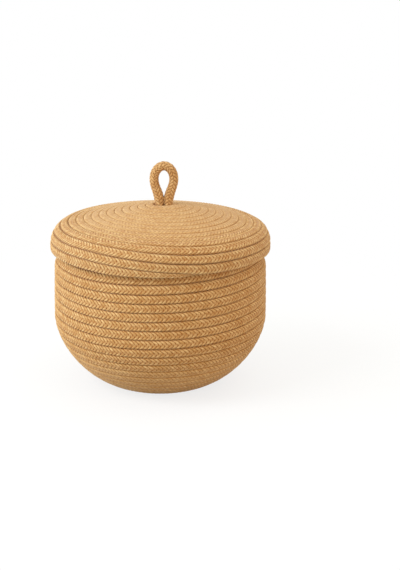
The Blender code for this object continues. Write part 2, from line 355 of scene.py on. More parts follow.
@dataclass(frozen=True)
class Rope:
    """A braided rope, and how it changes where it is pressed smooth.

    Pressing widens it, flattens its relief and lets the painted shade of the seam reach on
    by some columns, and so does the open outer edge of a coil, where the painted shade
    makes a dark line along the edge.
    """

    section: Section
    braid: Braid
    spacing: float
    pressed_wider: float = 0.10
    pressed_flatter: float = 0.5
    # How far on, in columns, the painted seam shade reaches where pressed and along an open
    # edge
    pressed_reach: float = 0.48
    edge_shade_reach: float = 0.45

    def sweep(self, name: str, path: RopePath, floor: float | None) -> bpy.types.Object:
        """Carry the braided section along a path, and close both ends.

        A point of the surface is the centre, plus the section's share out of the wall
        times its half size, plus its share along the wall times its half size, plus the
        strand's height along the section's own normal.

        Args:
            name: The object's name.
            path: Steps along the rope.
            floor: Height that the rope is pressed flat at, if it stands on something.

        Returns:
            The new object.
        """
        section, braid = self.section, self.braid
        turn = section.turns()
        share_out, share_side = section.ring(turn)
        pressed = path.pressed[:, None]
        through = section.through * path.through[:, None]
        across = section.across * path.across[:, None] * (1 + self.pressed_wider * pressed)
        slim = np.minimum(path.across, path.through)[:, None]
        bow = section.power - 1
        normal_out = np.sign(share_out) * np.abs(share_out) ** bow / section.through
        normal_side = np.sign(share_side) * np.abs(share_side) ** bow / section.across
        size = np.hypot(normal_out, normal_side)
        around = turn / TURN * braid.columns
        count = braid.count(path.run)
        height, shade = braid.height(count[:, None], around[None, :])
        lift = (height - braid.mean_height) * braid.relief * slim
        lift = lift * (1 - self.pressed_flatter * pressed)
        reach_out = share_out * through + normal_out / size * lift
        reach_side = share_side * across + normal_side / size * lift
        points = (
            path.centre[:, None, :]
            + path.out[:, None, :] * reach_out[:, :, None]
            + path.side[:, None, :] * reach_side[:, :, None]
        )
        if floor is not None:
            points[:, :, 2] = np.maximum(points[:, :, 2], floor)
        edge = np.append(around, around[0] + braid.columns)
        grid = np.stack(np.broadcast_arrays(count[:, None], edge[None, :]), axis=-1)
        corners = np.stack((grid[:-1, :-1], grid[:-1, 1:], grid[1:, 1:], grid[1:, :-1]), axis=2)
        # Painted shade along the seams reaches on where the rope is pressed and on the open
        # outer side of the last turn
        opened = path.opened[:, None] * (share_side > 0)[None, :]
        maps = {
            "strand": shade,
            "pressed": np.broadcast_to(pressed, shade.shape),
            "seam_reach": self.pressed_reach * pressed + self.edge_shade_reach * opened,
        }
        return put_tube(name, points, maps, corners)

    def sweep_lengths(
        self, name: str, path: RopePath, lengths: int, floor: float | None = None
    ) -> list[bpy.types.Object]:
        """Sweep a long rope as several lengths that butt end to end.

        Args:
            name: Start of each object's name.
            path: Steps along the rope.
            lengths: How many objects to make.
            floor: Height that the rope is pressed flat at, if it stands on something.

        Returns:
            The new objects in order.
        """
        cuts = np.linspace(0, len(path.run) - 1, lengths + 1).astype(int)
        return [
            self.sweep(f"{name}_{number}", path.part(low, high), floor)
            for number, (low, high) in enumerate(zip(cuts[:-1], cuts[1:]), start=1)
        ]


def put_tube(
    name: str,
    points: np.ndarray,
    maps: dict[str, np.ndarray],
    corners: np.ndarray | None = None,
) -> bpy.types.Object:
    """Make a smooth tube from a grid of points, with flat end caps and sharp rims.

    Each face joins a point, the next one in its ring, and the same two one ring on.

    Args:
        name: The object's name.
        points: Places of the vertices, by ring and by number in the ring.
        maps: Names and values of attributes on the vertices.
        corners: Texture places for the four corners of each face, if any.

    Returns:
        The new object.
    """
    rings, around = points.shape[:2]
    index = np.arange(rings * around).reshape(rings, around)
    after = np.roll(index, -1, axis=1)
    faces = np.stack((index[:-1], after[:-1], after[1:], index[1:]), axis=-1)
    loops = np.concatenate((faces.ravel(), index[0][::-1], index[-1])).astype(np.int32)
    sizes = np.append(np.full(faces.size // 4, 4), (around, around)).astype(np.int32)
    starts = np.concatenate(([0], np.cumsum(sizes)[:-1])).astype(np.int32)
    mesh = bpy.data.meshes.new(name)
    mesh.vertices.add(index.size)
    mesh.vertices.foreach_set("co", points.astype(np.float32).ravel())
    mesh.loops.add(len(loops))
    mesh.loops.foreach_set("vertex_index", loops)
    mesh.polygons.add(len(sizes))
    mesh.polygons.foreach_set("loop_start", starts)
    mesh.update(calc_edges=True)
    mesh.polygons.foreach_set("use_smooth", np.ones(len(sizes), dtype=bool))
    ends = np.empty(len(mesh.edges) * 2, dtype=np.int32)
    mesh.edges.foreach_get("vertices", ends)
    ring = ends.reshape(-1, 2) // around
    rim = (ring[:, 0] == ring[:, 1]) & ((ring[:, 0] == 0) | (ring[:, 0] == rings - 1))
    mesh.attributes.new("sharp_edge", "BOOLEAN", "EDGE").data.foreach_set("value", rim)
    for key, values in maps.items():
        layer = mesh.attributes.new(key, "FLOAT", "POINT")
        layer.data.foreach_set("value", values.astype(np.float32).ravel())
    if corners is not None:
        layer = mesh.uv_layers.new(name="along_rope")
        places = np.zeros((len(loops), 2), dtype=np.float32)
        places[: faces.size] = corners.reshape(-1, 2)
        layer.data.foreach_set("uv", places.ravel())
    mesh.validate()
    made = bpy.data.objects.new(name, mesh)
    bpy.context.scene.collection.objects.link(made)
    return made


@dataclass(frozen=True)
class RowShift:
    """How far rows wander along the profile within a turn, and how it grows outwards.

    With a step, the pitch of a whole turn is gained between two angles and the rows lie
    level elsewhere. Without one, the shift is a sine with its steepest rise in front, and
    the rows also ride up at both sides by a lift times the fourth power of the cosine of
    the angle. The lift fades out over the last part of the wall.
    """

    size: float
    side_lift: float = 0.0
    lift_ends: float = 0.8
    step_from: float = 0.0
    step_to: float = 0.0

    def at(self, angle: np.ndarray, share: np.ndarray) -> np.ndarray:
        """Row shift in metres at each angle.

        Args:
            angle: Angles in the winding.
            share: How far along the profile each one is, from 0 to 1.

        Returns:
            Shifts along the profile.
        """
        grown = ramp(share, 0.0, 1.0)
        if self.step_to > self.step_from:
            turn = angle / TURN
            part = turn - np.floor(turn)
            stepped = ramp(part * TURN, self.step_from, self.step_to)
            middle = (self.step_from + self.step_to) / 2 / TURN
            return self.size * grown * (stepped - part - (0.5 - middle))
        lifted = self.side_lift * (1 - ramp(share, self.lift_ends, 1.0)) * np.cos(angle) ** 4
        return grown * (self.size * np.cos(angle) + lifted)


@dataclass
class Winding:
    """A rope wound along a profile, anticlockwise from above and outwards.

    The length along the profile is the start plus the pitch times the turn, plus a row
    shift that repeats every turn, so that the rows step down or up where the sewer led
    them. The first turn fills up from the axis, or from the inner edge where the coil has
    edges. The last one thins out to a tip, or closes as a wedge at the outer edge, so
    that both edges lie level. The hand is 1 where the profile runs from the floor
    outwards, and -1 where it runs down from a crown, so that the rope's face looks out of
    the wall. A coil that starts to one side drifts back to the middle. The rope is
    pressed smooth up to a length, and less so up to a second one.
    """

    profile: Profile
    diameter: float
    start: float
    pitch: float
    end_angle: float
    hand: int
    tip: float
    pressed_to: tuple[float, float]
    row_shift: RowShift
    edges: tuple[float, float] | None = None
    half_oval: float = 0.0
    oval_power: float = 0.35
    sideways: float = 0.0
    overrun: float = 0.0
    tip_share: float = 0.35
    least_share: float = 0.12
    through_power: float = 0.55
    loose_edge: float = 0.0
    loose_ramp: float = math.radians(14)
    sag: float = 0.0
    sag_grows: tuple[float, float] = (0.48, 0.76)
    sag_fades: tuple[float, float] = (0.70, 0.88)
    sewn_from: float = 0.6
    fine_points: int = 360

    def __post_init__(self) -> None:
        """Work out how often the rope goes round."""
        self.turns = (self.profile.total + self.overrun - self.start) / self.pitch
        self.last = self.end_angle + TURN * math.ceil(self.turns)
        self.first = self.last - TURN * self.turns

    def ends(self, angle: np.ndarray, length: np.ndarray) -> tuple[np.ndarray, np.ndarray]:
        """Thin out both ends of the rope.

        The rope is as wide as the room from the larger of its own inner side and the
        inner edge to the smaller of its own outer side and the outer edge, and its middle
        is the middle of that room. Without edges, the room starts at the axis, and the
        last end eases its width down over the tip and is drawn up against the turn
        before. With edges, the last turn's outer side swells by the loose edge, because
        it has no row beyond it, and its tip thins out under the row before.

        Args:
            angle: Angles in the winding.
            length: Lengths along the profile at those angles.

        Returns:
            Lengths along the profile of the rope's middle, and shares of its full width.
        """
        swell, under = (
            self.loose_edge * ramp(angle, place - self.loose_ramp, place)
            for place in (self.last - TURN, self.last)
        )
        low, high = self.edges or (0.0, math.inf)
        inner = np.maximum(length - self.pitch / 2 + under, low)
        outer = np.minimum(length + self.pitch / 2 + swell, high)
        least = self.least_share * self.pitch
        past = self.edges[1] - self.profile.total if self.edges else 0.0
        left = (self.last - angle) * (past + self.profile.radii[-1]) / self.tip
        if self.edges:
            width = np.maximum((outer - inner) * np.clip(left, 0.0, 1.0), least)
            return inner + width / 2, width / self.pitch
        width = np.maximum(outer - inner, least)
        tip = self.tip_share + (1 - self.tip_share) * ramp(left, 0.0, 1.0)
        drawn = np.where(angle > self.last - math.pi, 1 - tip, 0.0)
        middle = inner + width / 2 - self.diameter / 2 * drawn
        return middle, np.minimum(width / self.pitch, tip)

    def length_at(self, angle: np.ndarray) -> np.ndarray:
        """Length along the profile at each angle, with the row shift."""
        length = self.start + self.pitch * (angle - self.first) / TURN
        return length + self.row_shift.at(angle, length / self.profile.total)

    def path(self, spacing: float) -> RopePath:
        """Even steps of rope along the coil.

        The run is measured no nearer to the axis than a fifth of the pitch, because the
        middle of the spiral has no direction.

        Args:
            spacing: Length of rope in a step.

        Returns:
            The steps.
        """
        fine = np.linspace(self.first, self.last, int(self.turns * self.fine_points))
        run_fine = run_along(
            self.places(fine, np.maximum(self.length_at(fine), self.pitch / 5))
        )
        run = np.linspace(0.0, run_fine[-1], int(run_fine[-1] / spacing))
        angle = np.interp(run, run_fine, fine)
        length, width = self.ends(angle, self.length_at(angle))
        pressed = 1 - ramp(length, *self.pressed_to)
        # How open the last turn's outer side lies: there the painted seam shade reaches on, as
        # a painted shadow line along the coil's outer edge
        opened = np.zeros(len(run))
        if self.edges:
            opened = ramp(angle, self.last - TURN, self.last - TURN + self.loose_ramp)
        centre = self.places(angle, length)
        slope = self.profile.slope(length, self.diameter / 4)
        ahead = unit(np.gradient(centre, axis=0))
        level = unit(np.stack((ahead[:, 1], -ahead[:, 0], np.zeros(len(run))), axis=1))
        upward = np.array((0.0, 0.0, 1.0))
        along = np.cos(slope)[:, None] * level + np.sin(slope)[:, None] * upward
        out = unit(np.cross(ahead, along) * self.hand)
        side = np.cross(ahead, out)
        return RopePath(
            centre, out, side, run, width, width**self.through_power, pressed, opened
        )

    def places(self, angle: np.ndarray, length: np.ndarray) -> np.ndarray:
        """Points of the coil's middle surface, drawn out to an oval near the start.

        The surface sags towards the right: by the sag, times the fourth power of half of
        one plus the cosine of the angle, times a hump over the outer part of the profile.

        Args:
            angle: Angles in the winding.
            length: Lengths along the profile at those angles.

        Returns:
            One point for each angle.
        """
        radius, height = self.profile.at(length)
        share = length / self.profile.total
        hump = ramp(share, *self.sag_grows) * (1 - ramp(share, *self.sag_fades))
        height = height - self.sag * hump * (0.5 + 0.5 * np.cos(angle)) ** 4
        fade = 1 - (length - self.start) / (self.profile.total - self.start)
        across = np.cos(angle)
        pull = np.sign(across) * np.abs(across) ** self.oval_power
        moved = (self.half_oval * pull + self.sideways) * np.clip(fade, 0.0, 1.0)
        return np.stack((radius * across + moved, radius * np.sin(angle), height), axis=-1)


@dataclass(frozen=True)
class Stitch:
    """A machine zigzag: length of a whole zigzag, its width and its thread, in metres."""

    length: float = 5.2 * MM
    width: float = 3.4 * MM
    thread: float = 0.62 * MM
    fine_points: int = 200

    def sew(self, name: str, winding: Winding, side: Side, depth: float) -> bpy.types.Object:
        """Sew a zigzag along the seam between each turn and the next.

        The seam's length along the profile is the mean of a turn's and the next turn's.
        The thread swings to each side of it by half a stitch's width, once per stitch,
        and is lifted off the middle surface by a depth. Its section is a small diamond.

        Args:
            name: The object's name.
            winding: The coil that is sewn.
            side: The side of the coil's wall that the thread lies on.
            depth: How far from the middle surface the thread lies.

        Returns:
            The new object.
        """
        first = winding.first + winding.sewn_from
        fine = np.linspace(first, winding.last - TURN, int(winding.turns * self.fine_points))
        seam = (winding.length_at(fine) + winding.length_at(fine + TURN)) / 2
        run_fine = run_along(winding.places(fine, seam))
        count = int(run_fine[-1] / self.length * 2) + 1
        angle = np.interp(np.linspace(0.0, run_fine[-1], count), run_fine, fine)
        length = (winding.length_at(angle) + winding.length_at(angle + TURN)) / 2
        swing = np.where(np.arange(count) % 2 == 0, 1.0, -1.0) * self.width / 2
        slope = winding.profile.slope(length, winding.diameter / 4)
        lift = side.value * depth
        radius, height = winding.profile.at(length + swing)
        beyond = radius - lift * np.sin(slope) - winding.profile.at(length)[0]
        height = height + lift * np.cos(slope)
        away = np.stack((np.cos(angle), np.sin(angle)), axis=1)
        level = winding.places(angle, length)[:, :2] + away * beyond[:, None]
        line = np.concatenate((level, height[:, None]), axis=1)
        ahead = unit(np.gradient(line, axis=0))
        off = np.concatenate((-np.sin(slope)[:, None] * away, np.cos(slope)[:, None]), axis=1)
        beside = unit(np.cross(ahead, off))
        out = np.cross(beside, ahead)
        turn = np.arange(4) / 4 * TURN
        half = self.thread / 2
        points = (
            line[:, None, :]
            + out[:, None, :] * (half * np.cos(turn))[None, :, None]
            + beside[:, None, :] * (half * np.sin(turn))[None, :, None]
        )
        return put_tube(name, points, {})


class Nodes:
    """The node tree of a material or a world under construction."""

    def __init__(self, owner: bpy.types.Material | bpy.types.World) -> None:
        """Start with an empty tree."""
        owner.use_nodes = True
        self.tree = owner.node_tree
        self.tree.nodes.clear()

    def add(self, kind: str, settings: dict, inputs: dict) -> bpy.types.Node:
        """Add a node, set it up and feed its inputs.

        Args:
            kind: The node's type name, without "ShaderNode".
            settings: Properties of the node.
            inputs: Sockets to link or values to set, by the inputs' names or numbers.

        Returns:
            The new node.
        """
        node = self.tree.nodes.new("ShaderNode" + kind)
        for key, value in settings.items():
            setattr(node, key, value)
        for key, value in inputs.items():
            if isinstance(value, bpy.types.NodeSocket):
                self.tree.links.new(value, node.inputs[key])
            else:
                node.inputs[key].default_value = value
        return node


@dataclass(frozen=True)
class RopeFinish:
    """Braided natural fibre rope: dull, matt, with darker gaps between its strands.

    Spun bast or cotton fibre scatters light widely, so it has a high roughness and only a
    faint sheen. Each strand is two yarns side by side with a groove between them, and
    strands differ a little in tone. The gaps between strands, the yarns' grooves and the
    sewn seams are darkened with painted shade in a warm brown.

    The fibres lie about a third of a millimetre apart, 13 in a strand of 4.25 mm. The
    yarn's groove is a tenth of a strand wide, 0.4 mm. Sun and handling leave patches of
    17 mm, and slubs in the yarn flecks of 2 mm: real ones are finer than that, and these
    are as coarse as a pixel of 1.1 mm needs them to be.

    The values named tone are how much the strands, patches, flecks and fibres add to the
    tone, which is read over a range from the middle colour to the light one. Depth and
    seam distance are read over ranges of their own from the gap's colour to the yarn's:
    this is the painted shade in the gaps and seams.
    """

    name: str
    braid: Braid
    light: str
    middle: str
    # gap is the colour of the painted shade; seam is the share of the yarn's colour that the
    # painted shade leaves on the seam
    gap: str
    sheen: float
    seam: float = 0.42
    roughness: float = 0.88
    fibres: float = 13.0
    yarn_gap: float = 0.09
    yarn_groove: float = 0.16
    patch: float = 16.667 * MM
    fleck: float = 2.0833 * MM
    strand_tone: float = 0.66
    patch_tone: float = 0.5
    fleck_tone: float = 1.3
    fibre_tone: float = 0.7
    tone_range: tuple[float, float] = (0.75, 1.9)
    pits: float = 0.8
    depth_range: tuple[float, float] = (0.42, 1.4)
    seam_range: tuple[float, float] = (0.2, 0.55)
    pressed_calmer: float = 0.4
    pressed_fuller: float = 0.5
    fibre_relief: float = 0.14
    bump: float = 0.5 * MM
    bump_strength: float = 0.8

    def strands(self) -> list[tuple]:
        """Rows of sums for the braid, the yarns in it, and how far off the seam is.

        Returns:
            The rows, as in the braid's own sums.
        """
        return self.braid.sums() + [
            ("apart", "DIVIDE", "near", self.yarn_gap),
            ("apart_2", "MULTIPLY", "apart", "apart"),
            ("minus", "MULTIPLY", "apart_2", -1.0),
            ("groove", "EXPONENT", "minus"),
            ("kept", "MULTIPLY_ADD", "groove", -self.yarn_groove, 1.0),
            ("relief", "MULTIPLY", "height", "kept"),
            ("fibre_beside", "MULTIPLY", "near", self.fibres),
            ("half_ring", "FLOORED_MODULO", "around", self.braid.columns / 2),
            ("off_seam", "SUBTRACT", "half_ring", self.braid.columns / 4),
            ("from_seam", "ABSOLUTE", "off_seam"),
        ]

    def tones(self) -> list[tuple]:
        """Rows of sums for tone, depth and relief, which pressing makes calmer.

        Ironed is what pressing leaves of the contrast. Filled is the depth of the braid
        with its pits, streaked the tone with its strands, patches, flecks and fibres, and
        raised the relief for the bump. Filled and nearer, the distance to the seam less its
        reach, set the painted shade in the gaps and along the seams.

        Returns:
            The rows, as in the braid's own sums.
        """
        return [
            ("ironed", "MULTIPLY_ADD", "pressed", -self.pressed_calmer, 1.0),
            ("filling", "MULTIPLY", "pressed", self.pressed_fuller),
            ("pitted", "MULTIPLY_ADD", "fleck", self.pits, "relief"),
            ("filled", "MULTIPLY_ADD", "pitted", "ironed", "filling"),
            ("nearer", "SUBTRACT", "from_seam", "seam_reach"),
            ("tone", "MULTIPLY_ADD", "strand", self.strand_tone, -self.strand_tone / 2),
            ("evened", "MULTIPLY", "tone", "ironed"),
            ("patched", "MULTIPLY_ADD", "patch", self.patch_tone, "evened"),
            ("flecked", "MULTIPLY_ADD", "fleck", self.fleck_tone, "patched"),
            ("streaked", "MULTIPLY_ADD", "fibre", self.fibre_tone, "flecked"),
            ("rough", "MULTIPLY_ADD", "fibre", self.fibre_relief, "relief"),
            ("raised", "MULTIPLY", "rough", "ironed"),
        ]

    def make(self) -> bpy.types.Material:
        """Build the material.

        Returns:
            The material.
        """
        material = bpy.data.materials.new(self.name)
        add = Nodes(material).add
        place = add("TexCoord", {}, {}).outputs["Object"]
        along = add("UVMap", {"uv_map": "along_rope"}, {}).outputs["UV"]
        parts = add("SeparateXYZ", {}, {"Vector": along}).outputs
        sockets = {"count": parts["X"], "around": parts["Y"]}
        for name in ("strand", "pressed", "seam_reach"):
            sockets[name] = add("Attribute", {"attribute_name": name}, {}).outputs["Fac"]
        for name, operation, *terms in self.strands():
            inputs = {number: sockets.get(term, term) for number, term in enumerate(terms)}
            sockets[name] = add("Math", {"operation": operation}, inputs).outputs[0]
        fibre_place = add(
            "CombineXYZ",
            {},
            {"X": sockets["fibre_beside"], "Y": sockets["across"], "Z": sockets["count"]},
        ).outputs["Vector"]
        for name, where, scale, detail, roughness in (
            ("patch", place, 1 / self.patch, 3.0, 0.55),
            ("fleck", place, 1 / self.fleck, 2.0, 0.6),
            ("fibre", fibre_place, 1.0, 2.5, 0.6),
        ):
            inputs = {"Vector": where, "Scale": scale, "Detail": detail, "Roughness": roughness}
            sockets[name] = add("TexNoise", {}, inputs).outputs["Fac"]
        for name, operation, *terms in self.tones():
            inputs = {number: sockets.get(term, term) for number, term in enumerate(terms)}
            sockets[name] = add("Math", {"operation": operation}, inputs).outputs[0]
        # Painted shade: how much of the gap's colour shows, from the depth of the braid and
        # from the distance to the seam
        for name, source, (low, high), least in (
            ("strand_shade", "filled", self.depth_range, 0.0),
            ("seam_shade", "nearer", self.seam_range, self.seam),
            ("lightness", "streaked", self.tone_range, 0.0),
        ):
            inputs = {"Value": sockets[source], "From Min": low, "From Max": high}
            inputs["To Min"] = least
            sockets[name] = add("MapRange", {}, inputs).outputs["Result"]
        # The darker of the two painted shades wins, and the gap's colour is mixed in by it
        inputs = {0: sockets["strand_shade"], 1: sockets["seam_shade"]}
        depth = add("Math", {"operation": "MINIMUM"}, inputs).outputs[0]
        inputs = {0: sockets["lightness"], 6: linear(self.middle), 7: linear(self.light)}
        yarn = add("Mix", {"data_type": "RGBA"}, inputs).outputs[2]
        inputs = {0: depth, 6: linear(self.gap), 7: yarn}
        colour = add("Mix", {"data_type": "RGBA"}, inputs).outputs[2]
        inputs = {"Strength": self.bump_strength, "Distance": self.bump}
        inputs["Height"] = sockets["raised"]
        normal = add("Bump", {}, inputs).outputs["Normal"]
        inputs = {
            "Base Color": colour,
            "Roughness": self.roughness,
            "IOR": 1.46,
            "Specular IOR Level": 0.3,
            "Sheen Weight": self.sheen,
            "Sheen Roughness": 0.5,
            "Normal": normal,
        }
        skin = add("BsdfPrincipled", {}, inputs).outputs[0]
        add("OutputMaterial", {}, {"Surface": skin})
        return material


@dataclass(frozen=True)
class ThreadFinish:
    """Waxed sewing thread: smooth for a thread, with a slight twist and a soft gloss.

    Its plies cross the thread every 1.1 mm, which shows as a change of tone.
    """

    name: str
    colour: str
    roughness: float = 0.62
    ply: float = 1.1111 * MM

    def make(self) -> bpy.types.Material:
        """Build the material.

        Returns:
            The material.
        """
        material = bpy.data.materials.new(self.name)
        add = Nodes(material).add
        place = add("TexCoord", {}, {}).outputs["Object"]
        inputs = {"Vector": place, "Scale": 1 / self.ply, "Detail": 2.0}
        twist = add("TexNoise", {}, inputs).outputs["Fac"]
        inputs = {"Value": twist, "To Min": 0.75, "To Max": 1.2}
        shade = add("MapRange", {}, inputs).outputs["Result"]
        settings = {"data_type": "RGBA", "blend_type": "MULTIPLY"}
        inputs = {0: 1.0, 6: linear(self.colour), 7: shade}
        colour = add("Mix", settings, inputs).outputs[2]
        inputs = {"Base Color": colour, "Roughness": self.roughness, "IOR": 1.5}
        skin = add("BsdfPrincipled", {}, inputs).outputs[0]
        add("OutputMaterial", {}, {"Surface": skin})
        return material


def finish_piece(
    piece: bpy.types.Object,
    paint: bpy.types.Material,
    slot: str,
    body: str | None,
    *nodes: str,
) -> None:
    """Dress a piece, let it ride on a body and stand for CAD nodes.

    Args:
        piece: The mesh object.
        paint: Its material.
        slot: The record's material slot. Not used.
        body: The CAD body that it moves with, or None where it bends between two.
        nodes: The CAD nodes that it replaces.
    """
    piece.data.materials.append(paint)
    if body is not None:
        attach(piece, body)
    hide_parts(*nodes)
    piece.data.calc_loop_triangles()
    LOG.info("%s: %d triangles", piece.name, len(piece.data.loop_triangles))


@dataclass
class BasketBody:
    """The wound basket: flat floor, round corner, belly and a neck under the lid."""

    rope_d: float = 9.46 * MM
    pitch: float = 9.70 * MM
    short_of_mouth: float = 1.9 * MM
    floor_r: float = 43.3 * MM
    belly_r: float = 113.9 * MM
    belly_z: float = 77.9 * MM
    shoulder_draw: float = 1.1 * MM
    shoulder_rows: float = 2.2
    mouth_lean: float = 1.8 * MM
    mouth_z: float = 169.7 * MM
    mouth_tip: float = 110 * MM
    rim_z: float = 155.02 * MM
    neck_r: float = 108.02 * MM
    corner_power: float = 1.674
    end_angle: float = math.radians(14)
    sewn_from: float = 2.6
    stitch_depth: float = 3.75 * MM
    rope: Rope = Rope(Section(4.98 * MM, 4.3 * MM, 3.0), Braid(seed=3), spacing=0.72 * MM)
    row_shift: RowShift = RowShift(2.2 * MM, side_lift=4.5 * MM)
    pressed_to: tuple[float, float] = (104 * MM, 132 * MM)
    stitch: Stitch = Stitch()

    def profile(self) -> Profile:
        """Work out the turned profile.

        It is a floor line, a superellipse corner, and a wall that is drawn in at its top
        and leans in by a square at the mouth.

        Returns:
            The profile, from the middle of the floor to the mouth.
        """
        floor_z = self.rope_d / 2 * FLAT_SHARE - self.rope_d * CUT_SHARE
        shoulder_z = self.rim_z - self.rope_d * self.shoulder_rows
        turn = np.linspace(0.0, math.pi / 2, PROFILE_POINTS)
        power = 2 / self.corner_power
        corner_r = self.floor_r + (self.belly_r - self.floor_r) * np.sin(turn) ** power
        corner_z = floor_z + (self.belly_z - floor_z) * (1 - np.cos(turn) ** power)
        wall_z = np.linspace(self.belly_z, self.mouth_z, PROFILE_POINTS)[1:]
        climb = (wall_z - self.belly_z) / (shoulder_z - self.belly_z)
        wall_r = self.belly_r - self.shoulder_draw * climb**2
        inwards = ramp(wall_z, shoulder_z, self.rim_z)
        lean = np.clip((wall_z - self.rim_z) / (self.mouth_z - self.rim_z), 0.0, 1.0)
        wall_r = wall_r + (self.neck_r - wall_r) * inwards - self.mouth_lean * lean**2
        return Profile(
            np.concatenate(([0.0], corner_r, wall_r)),
            np.concatenate(([floor_z], corner_z, wall_z)),
        )

    def winding(self) -> Winding:
        """Wind the basket's rope from the middle of the floor to the mouth.

        Returns:
            The winding.
        """
        return Winding(
            self.profile(),
            self.rope_d,
            start=-self.pitch / 2,
            pitch=self.pitch,
            end_angle=self.end_angle,
            hand=1,
            tip=self.mouth_tip,
            pressed_to=self.pressed_to,
            row_shift=self.row_shift,
            overrun=-self.short_of_mouth,
            sewn_from=self.sewn_from,
        )

    def build(self, rope_paint: bpy.types.Material, thread_paint: bpy.types.Material) -> None:
        """Make the rope and its stitches, and stand them for the CAD nodes.

        Args:
            rope_paint: Material of the rope.
            thread_paint: Material of the stitches.
        """
        winding = self.winding()
        path = winding.path(self.rope.spacing)
        for piece in self.rope.sweep_lengths("basket_rope", path, lengths=6, floor=0.0):
            finish_piece(piece, rope_paint, "basket_rope", "basket", "basket_coil")
        stitches = self.stitch.sew("basket_stitches", winding, Side.ABOVE, self.stitch_depth)
        finish_piece(stitches, thread_paint, "sewing_thread", "basket", "basket_seam_thread")


@dataclass
class DomedLid:
    """The wound lid: a crown with a soft peak, a round shoulder and a short rim."""

    rope_d: float = 7.7 * MM
    pitch: float = 8.85 * MM
    rim_r: float = 117.5 * MM
    frame_z: float = 160.62 * MM
    shoulder_r: float = 20.4 * MM
    rise: float = 31.2 * MM
    peak: float = 8.6 * MM
    rim_drop: float = 5.6 * MM
    eye_r: float = 5.65 * MM
    eye_x: float = 4.0 * MM
    eye_oval: float = 4.0 * MM
    eye_start: float = 0.38
    wedge_overrun: float = 1.73 * MM
    wedge_tip: float = 24 * MM
    wedge_least: float = 0.05
    loose_edge: float = 1.3 * MM
    sag: float = 2.1 * MM
    end_angle: float = math.radians(292)
    step_from: float = math.radians(222)
    step_to: float = math.radians(302)
    stitch_depth: float = 3.15 * MM
    rope: Rope = Rope(
        Section(4.58 * MM, 3.6 * MM, 3.2),
        Braid(pitch=4.1 * MM, lean=0.95, relief=0.8 * MM, seed=5),
        spacing=0.72 * MM,
    )
    pressed_to: tuple[float, float] = (70 * MM, 112 * MM)
    stitch: Stitch = Stitch(width=3.0 * MM)

    def profile(self) -> Profile:
        """Work out the turned profile.

        It is the arc of the crown plus a peak that falls off as a square, the arc of the
        shoulder, and a straight rim.

        Returns:
            The profile, from the top of the crown to the rim.
        """
        arc_r = self.rim_r - self.shoulder_r
        rise, shoulder = self.rise, self.shoulder_r
        cap_r = (arc_r**2 + rise**2 - shoulder**2) / (2 * (rise - shoulder))
        cap_z = self.frame_z + rise - cap_r
        meeting = math.atan2(arc_r, self.frame_z - cap_z)
        cap = np.linspace(0.0, meeting, PROFILE_POINTS)
        crown_r = cap_r * np.sin(cap)
        edge_r = cap_r * math.sin(meeting)
        crown_z = cap_z + cap_r * np.cos(cap) + self.peak * (1 - crown_r / edge_r) ** 2
        bend = np.linspace(meeting, math.pi / 2, PROFILE_POINTS)[1:]
        bend_r = arc_r + shoulder * np.sin(bend)
        bend_z = self.frame_z + shoulder * np.cos(bend)
        return Profile(
            np.concatenate((crown_r, bend_r, [self.rim_r])),
            np.concatenate((crown_z, bend_z, [self.frame_z - self.rim_drop])),
        )

    def winding(self) -> Winding:
        """Wind the lid's rope from the eye round the legs to the rim.

        Returns:
            The winding.
        """
        profile = self.profile()
        return Winding(
            profile,
            self.rope_d,
            start=self.eye_r - self.eye_start * self.pitch,
            pitch=self.pitch,
            end_angle=self.end_angle,
            hand=-1,
            tip=self.wedge_tip,
            pressed_to=self.pressed_to,
            row_shift=RowShift(self.pitch, step_from=self.step_from, step_to=self.step_to),
            edges=(self.eye_r, profile.total + self.rope_d / 2),
            half_oval=self.eye_oval,
            sideways=self.eye_x,
            overrun=self.wedge_overrun,
            least_share=self.wedge_least,
            loose_edge=self.loose_edge,
            sag=self.sag,
        )

    def build(self, rope_paint: bpy.types.Material, thread_paint: bpy.types.Material) -> None:
        """Make the rope and its stitches, and stand them for the CAD nodes.

        Args:
            rope_paint: Material of the rope.
            thread_paint: Material of the stitches.
        """
        winding = self.winding()
        path = winding.path(self.rope.spacing)
        for piece in self.rope.sweep_lengths("lid_rope", path, lengths=3):
            finish_piece(piece, rope_paint, "lid_rope", "lid", "lid_coil")
        stitches = self.stitch.sew("lid_stitches", winding, Side.BELOW, self.stitch_depth)
        finish_piece(stitches, thread_paint, "sewing_thread", "lid", "lid_seam_thread")


